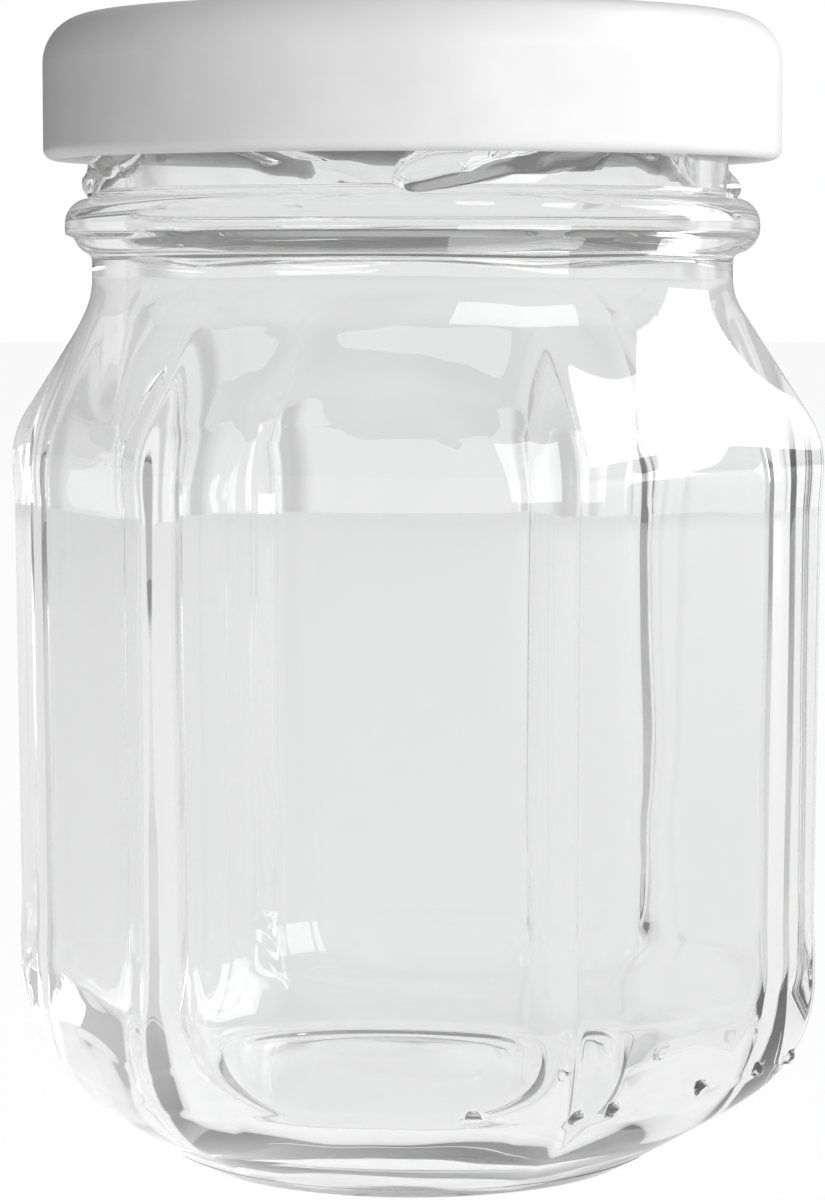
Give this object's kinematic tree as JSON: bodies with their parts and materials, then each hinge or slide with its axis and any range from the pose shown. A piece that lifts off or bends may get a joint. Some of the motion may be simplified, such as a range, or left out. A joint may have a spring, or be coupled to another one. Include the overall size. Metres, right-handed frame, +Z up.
{
  "type": "glass jar with twist-off lid",
  "caption": "Small hexagonal clear glass jar, empty, closed with a white lacquered twist-off lid.",
  "frame": {"origin": "bottom centre of the foot ring", "axes": "+Z up along the jar's axis, one flat panel faces -Y"},
  "size_m": [0.0572, 0.051, 0.0793],
  "materials": {
    "glass": "clear polished glass",
    "lid_lacquer": "glossy white lacquer on tin plate",
    "seal": "soft white sealing compound"
  },
  "bodies": {
    "root": {"jar": "glass", "lid": "lid_lacquer", "seal": "seal"}
  },
  "joints": []
}
